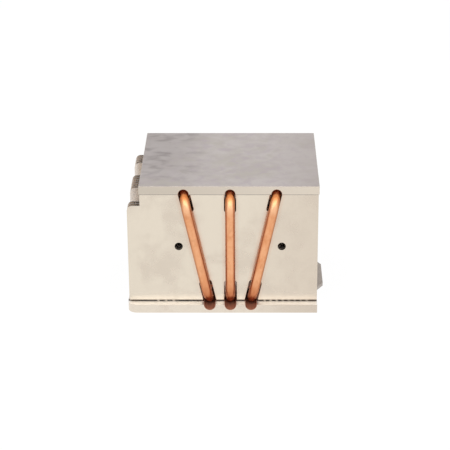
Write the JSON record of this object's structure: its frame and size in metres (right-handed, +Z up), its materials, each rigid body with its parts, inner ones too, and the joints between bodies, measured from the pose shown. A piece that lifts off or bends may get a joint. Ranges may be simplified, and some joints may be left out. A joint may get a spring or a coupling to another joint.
{
  "type": "passive server processor heatsink",
  "caption": "Passive finned heatsink for a server processor, with a stack of folded sheet fins soldered between two plates and bent heat pipes running up the front.",
  "frame": {"origin": "middle of the processor contact face on the underside of the base plate, under the middle heat pipe and half way through the fin stack", "axes": "+X along the fins towards the side with the retention tab, +Y from the front, where the heat pipes run outside, to the back, +Z up from the processor"},
  "size_m": [0.1228, 0.1017, 0.0822],
  "materials": {
    "base_plate": "plated, satin",
    "top_plate": "plated, satin with faint stains",
    "fin_sheet": "plated sheet, satin",
    "heat_pipe": "bare drawn copper"
  },
  "bodies": {
    "root": {"base_plate": "base_plate", "top_plate": "top_plate", "heat_pipe_left": "heat_pipe", "heat_pipe_middle": "heat_pipe", "heat_pipe_right": "heat_pipe", "fin_01": "fin_sheet", "fin_02": "fin_sheet", "fin_03": "fin_sheet", "fin_04": "fin_sheet", "fin_05": "fin_sheet", "fin_06": "fin_sheet", "fin_07": "fin_sheet", "fin_08": "fin_sheet", "fin_09": "fin_sheet", "fin_10": "fin_sheet", "fin_11": "fin_sheet", "fin_12": "fin_sheet", "fin_13": "fin_sheet", "fin_14": "fin_sheet", "fin_15": "fin_sheet", "fin_16": "fin_sheet", "fin_17": "fin_sheet", "fin_18": "fin_sheet", "fin_19": "fin_sheet", "fin_20": "fin_sheet", "fin_21": "fin_sheet", "fin_22": "fin_sheet", "fin_23": "fin_sheet", "fin_24": "fin_sheet", "fin_25": "fin_sheet", "fin_26": "fin_sheet"}
  },
  "joints": []
}
